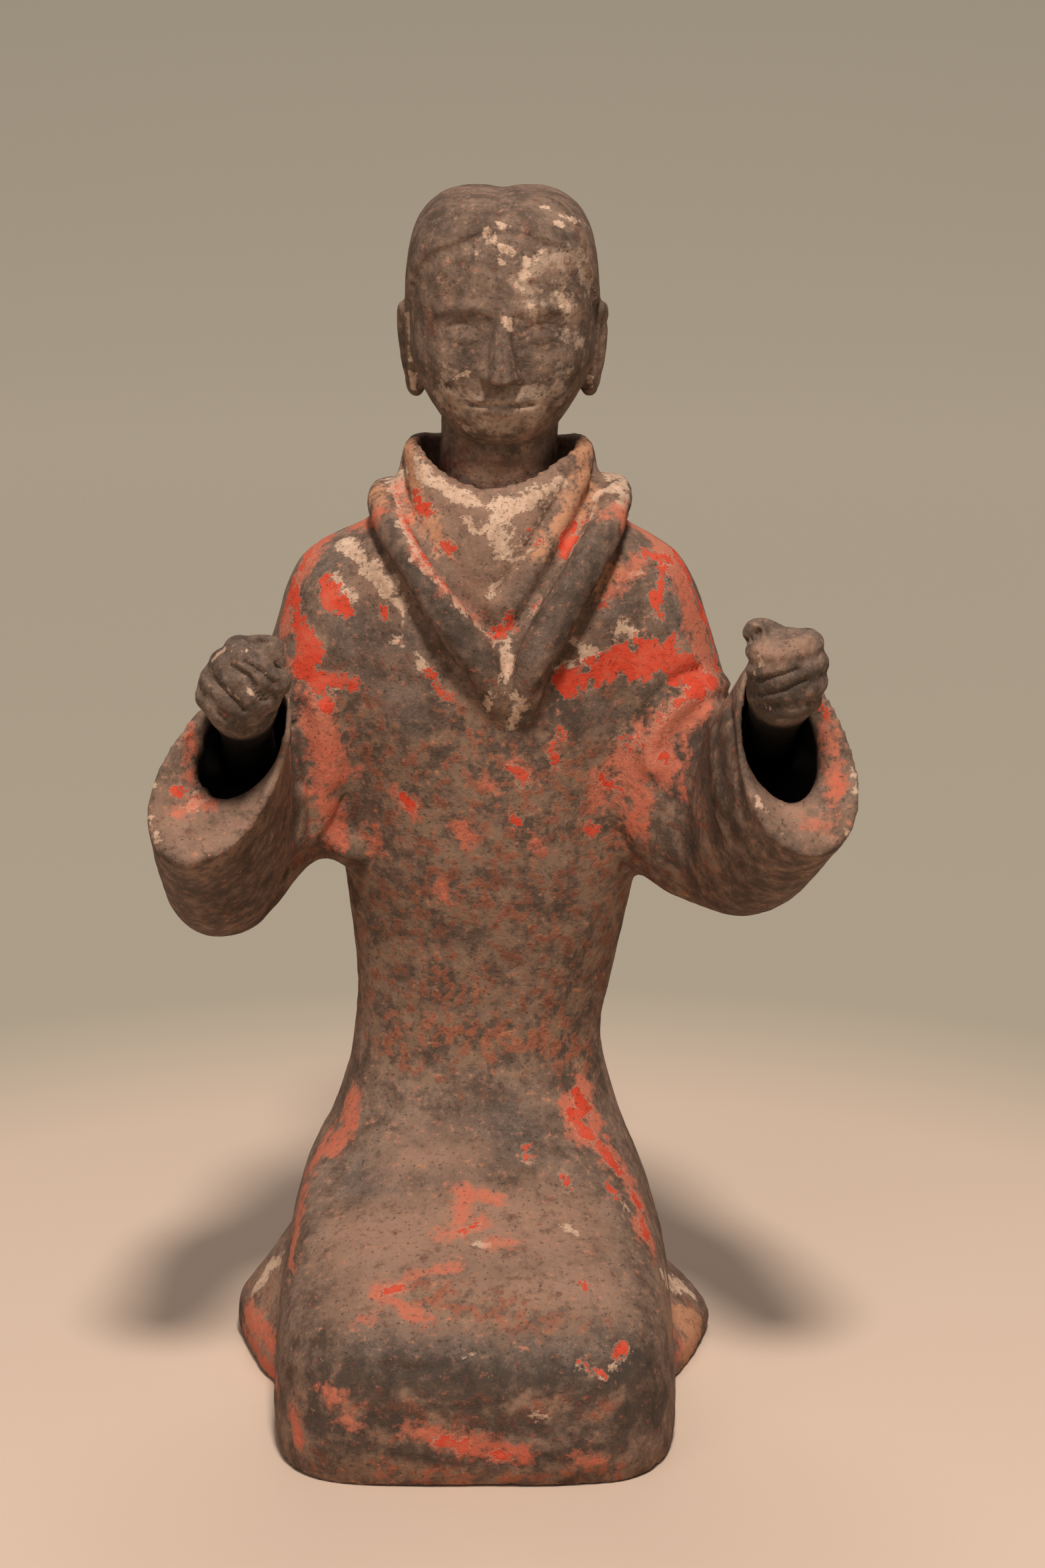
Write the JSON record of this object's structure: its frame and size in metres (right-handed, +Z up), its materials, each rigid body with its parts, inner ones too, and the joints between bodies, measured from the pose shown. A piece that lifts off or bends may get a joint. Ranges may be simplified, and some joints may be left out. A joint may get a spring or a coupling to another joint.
{
  "type": "kneeling pottery musician figurine",
  "caption": "Kneeling robed pottery musician with a loose head standing in a rolled collar and small raised fists in wide drooping sleeves.",
  "frame": {"origin": "under the middle of the figure's outline, on the surface it kneels on", "axes": "+Z up; the figure faces -Y; +X is its own left side, on the viewer's right"},
  "size_m": [0.1842, 0.1726, 0.33],
  "materials": {
    "painted_robe": "matt fired clay with worn red pigment",
    "bare_head": "matt fired clay with traces of pale slip",
    "bare_hand": "matt fired clay"
  },
  "bodies": {
    "root": {"robed_body": "painted_robe", "head": "bare_head", "right_hand": "bare_hand", "left_hand": "bare_hand"}
  },
  "joints": []
}
